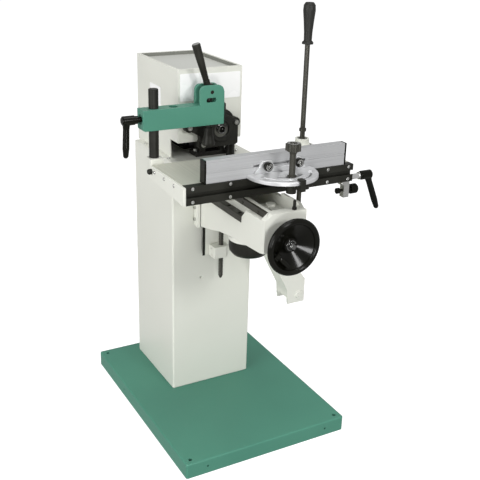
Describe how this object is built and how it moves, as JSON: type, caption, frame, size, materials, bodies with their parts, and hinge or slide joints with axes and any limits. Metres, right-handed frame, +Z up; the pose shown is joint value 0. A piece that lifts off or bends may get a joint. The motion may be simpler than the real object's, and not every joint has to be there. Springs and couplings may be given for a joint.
{
  "type": "horizontal slot mortiser",
  "caption": "Pedestal woodworking mortiser with a horizontal chuck, handwheel-raised knee, lever-moved cross-sliding table, swivelling fence and cam hold-down clamp.",
  "frame": {"origin": "centre of the rectangle of anchor holes, on the floor plane under the base pan", "axes": "+Z up, -Y towards the operator, +X to the operator's right"},
  "size_m": [0.6765, 0.7433, 1.193],
  "materials": {
    "green_paint": "satin enamel",
    "cream_paint": "fine textured enamel",
    "black_casting": "black painted casting",
    "black_oxide": "black oxide",
    "bright_steel": "turned and ground",
    "ground_iron": "machined face",
    "chromed": "polished",
    "alloy": "brushed",
    "black_plastic": "moulded",
    "black_rubber": "moulded grip",
    "green_button": "moulded",
    "red_button": "moulded"
  },
  "bodies": {
    "stand": {"base_pan": "green_paint", "column": "cream_paint", "deck_plate": "cream_paint", "motor_cover": "cream_paint", "motor": "black_casting", "spindle_casting": "black_casting", "spindle_bearing": "bright_steel", "casting_bolts": "bright_steel", "cover_screws": "bright_steel", "vertical_way": "black_oxide", "way_screws": "bright_steel", "screw_nut": "cream_paint", "switch_box": "black_plastic"},
    "start_button": {"start_button": "green_button"},
    "stop_button": {"stop_button": "red_button"},
    "spindle": {"spindle_shaft": "bright_steel", "chuck": "bright_steel"},
    "knee": {"knee": "cream_paint", "knee_gib": "bright_steel", "gib_screws": "bright_steel", "left_way_bar": "black_oxide", "right_way_bar": "black_oxide", "bar_screws": "bright_steel", "gear_cover": "black_casting", "stop_screw": "black_oxide", "lever_bracket": "cream_paint", "bracket_bolts": "bright_steel"},
    "handwheel": {"handwheel": "black_plastic", "wheel_shaft": "bright_steel", "wheel_nut": "chromed"},
    "crank_handle": {"crank_handle": "black_plastic"},
    "screw": {"elevation_screw": "black_oxide", "bevel_gear": "bright_steel"},
    "saddle": {"saddle": "ground_iron"},
    "table": {"table_top": "ground_iron", "front_rail": "black_oxide", "table_screws": "bright_steel", "end_plate": "cream_paint", "bumper_knob": "black_plastic", "post_bracket": "cream_paint", "clamp_post": "black_oxide", "lever_block": "cream_paint", "stop_bracket": "cream_paint", "mitre_base": "black_oxide"},
    "fence": {"fence": "alloy", "fence_caps": "black_plastic", "mitre_disc": "alloy", "fence_bracket": "alloy", "fence_knobs": "black_plastic"},
    "star_knob": {"star_knob": "black_oxide"},
    "rail_lever": {"rail_lever": "black_plastic"},
    "stop_knob": {"stop_knob": "black_plastic"},
    "clamp_arm": {"clamp_arm": "green_paint"},
    "arm_lever": {"arm_lever": "black_plastic"},
    "cam_lever": {"cam_lever": "black_oxide"},
    "plunger": {"plunger": "black_oxide"},
    "lever_yoke": {"lever_yoke": "bright_steel"},
    "control_lever": {"control_lever": "black_oxide", "lever_grip": "black_rubber"}
  },
  "joints": [
    {"name": "start_press", "type": "slide", "parent": "stand", "child": "start_button", "axis": [-1, 0, 0], "range_m": [0, 0.004], "stiffness_N_per_m": 600},
    {"name": "stop_press", "type": "slide", "parent": "stand", "child": "stop_button", "axis": [-1, 0, 0], "range_m": [0, 0.004], "stiffness_N_per_m": 600},
    {"name": "spindle_spin", "type": "hinge", "parent": "stand", "child": "spindle", "pos_m": [0.012, 0, 0.85], "axis": [0, 1, 0], "continuous": true},
    {"name": "elevation", "type": "slide", "parent": "stand", "child": "knee", "axis": [0, 0, 1], "range_m": [-0.05, 0.04]},
    {"name": "wheel_turn", "type": "hinge", "parent": "knee", "child": "handwheel", "pos_m": [0.006, -0.36, 0.65], "axis": [0, 1, 0], "range_deg": [-1450, 1810]},
    {"name": "crank_fold", "type": "hinge", "parent": "handwheel", "child": "crank_handle", "pos_m": [-0.04208, -0.4015, 0.63586], "axis": [-0.7071, 0, -0.7071], "range_deg": [0, 90]},
    {"name": "screw_turn", "type": "hinge", "parent": "knee", "child": "screw", "pos_m": [0.006, -0.016, 0.5], "axis": [0, 0, 1], "range_deg": [-1810, 1450]},
    {"name": "plunge", "type": "slide", "parent": "knee", "child": "saddle", "axis": [0, -1, 0], "range_m": [0, 0.08]},
    {"name": "cross", "type": "slide", "parent": "saddle", "child": "table", "axis": [1, 0, 0], "range_m": [-0.07, 0.04]},
    {"name": "fence_swivel", "type": "hinge", "parent": "table", "child": "fence", "pos_m": [0.047, -0.258, 0.795], "axis": [0, 0, 1], "range_deg": [-30, 30]},
    {"name": "star_turn", "type": "hinge", "parent": "table", "child": "star_knob", "pos_m": [0.047, -0.308, 0.8], "axis": [0, 0, 1], "continuous": true},
    {"name": "rail_lever_turn", "type": "hinge", "parent": "table", "child": "rail_lever", "pos_m": [0.279, -0.241, 0.75], "axis": [1, 0, 0], "range_deg": [-60, 60]},
    {"name": "stop_turn", "type": "hinge", "parent": "table", "child": "stop_knob", "pos_m": [0.279, -0.24, 0.715], "axis": [1, 0, 0], "continuous": true},
    {"name": "arm_swing", "type": "hinge", "parent": "table", "child": "clamp_arm", "pos_m": [-0.203, -0.023, 0.9], "axis": [0, 0, 1], "range_deg": [-70, 0]},
    {"name": "arm_lever_turn", "type": "hinge", "parent": "clamp_arm", "child": "arm_lever", "pos_m": [-0.24, -0.023, 0.908], "axis": [1, 0, 0], "range_deg": [-30, 30]},
    {"name": "cam_turn", "type": "hinge", "parent": "clamp_arm", "child": "cam_lever", "pos_m": [-0.043, -0.023, 0.967], "axis": [0, 1, 0], "range_deg": [0, 80]},
    {"name": "plunger_press", "type": "slide", "parent": "clamp_arm", "child": "plunger", "axis": [0, 0, -1], "range_m": [0, 0.0065]},
    {"name": "lever_side", "type": "hinge", "parent": "knee", "child": "lever_yoke", "pos_m": [0.23, -0.07, 0.345], "axis": [0, 1, 0], "range_deg": [-8.7, 5]},
    {"name": "lever_fore_aft", "type": "hinge", "parent": "lever_yoke", "child": "control_lever", "pos_m": [0.23, -0.07, 0.345], "axis": [1, 0, 0], "range_deg": [-0.1, 9.95]}
  ],
  "couplings": [
    {"joint": "wheel_turn", "follows": "elevation", "rad_per_m": -628.32},
    {"joint": "screw_turn", "follows": "elevation", "rad_per_m": 628.32},
    {"joint": "plunger_press", "follows": "cam_turn", "m_per_rad": 0.004502},
    {"joint": "lever_side", "follows": "cross", "rad_per_m": 2.1413},
    {"joint": "lever_fore_aft", "follows": "plunge", "rad_per_m": 2.1413}
  ]
}
